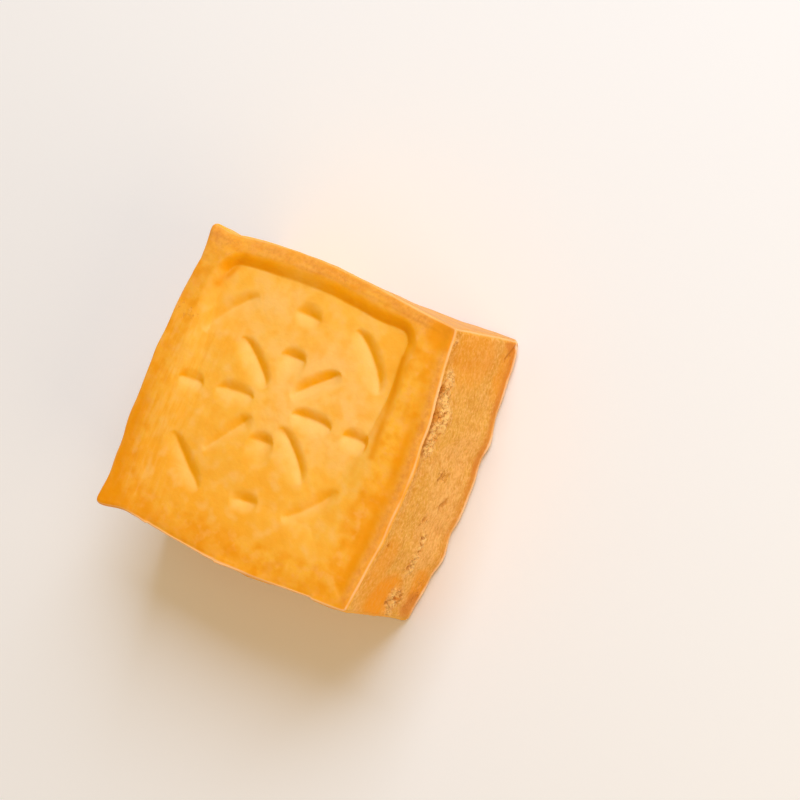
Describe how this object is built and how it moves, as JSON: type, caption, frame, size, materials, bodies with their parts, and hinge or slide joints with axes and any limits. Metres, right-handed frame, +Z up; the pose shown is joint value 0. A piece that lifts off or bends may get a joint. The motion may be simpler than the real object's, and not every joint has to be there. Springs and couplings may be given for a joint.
{
  "type": "dried tofu block",
  "caption": "Square block of pressed dried tofu lying flat, with smooth orange-yellow skin, a sunk panel stamped with a flower on top, pinched corners and a crumbly side.",
  "frame": {"origin": "centre of the block's box, on the flat underside it lies on", "axes": "+Z up, out of the stamped face; +Y towards the deeper long wall of the stamped panel; +X towards the side with the lip of skin and the crumbly streak"},
  "size_m": [0.071, 0.0694, 0.0311],
  "materials": {
    "tofu": "smooth, slightly moist orange-yellow skin of pressed dried tofu"
  },
  "bodies": {
    "root": {"tofu_block": "tofu"}
  },
  "joints": []
}
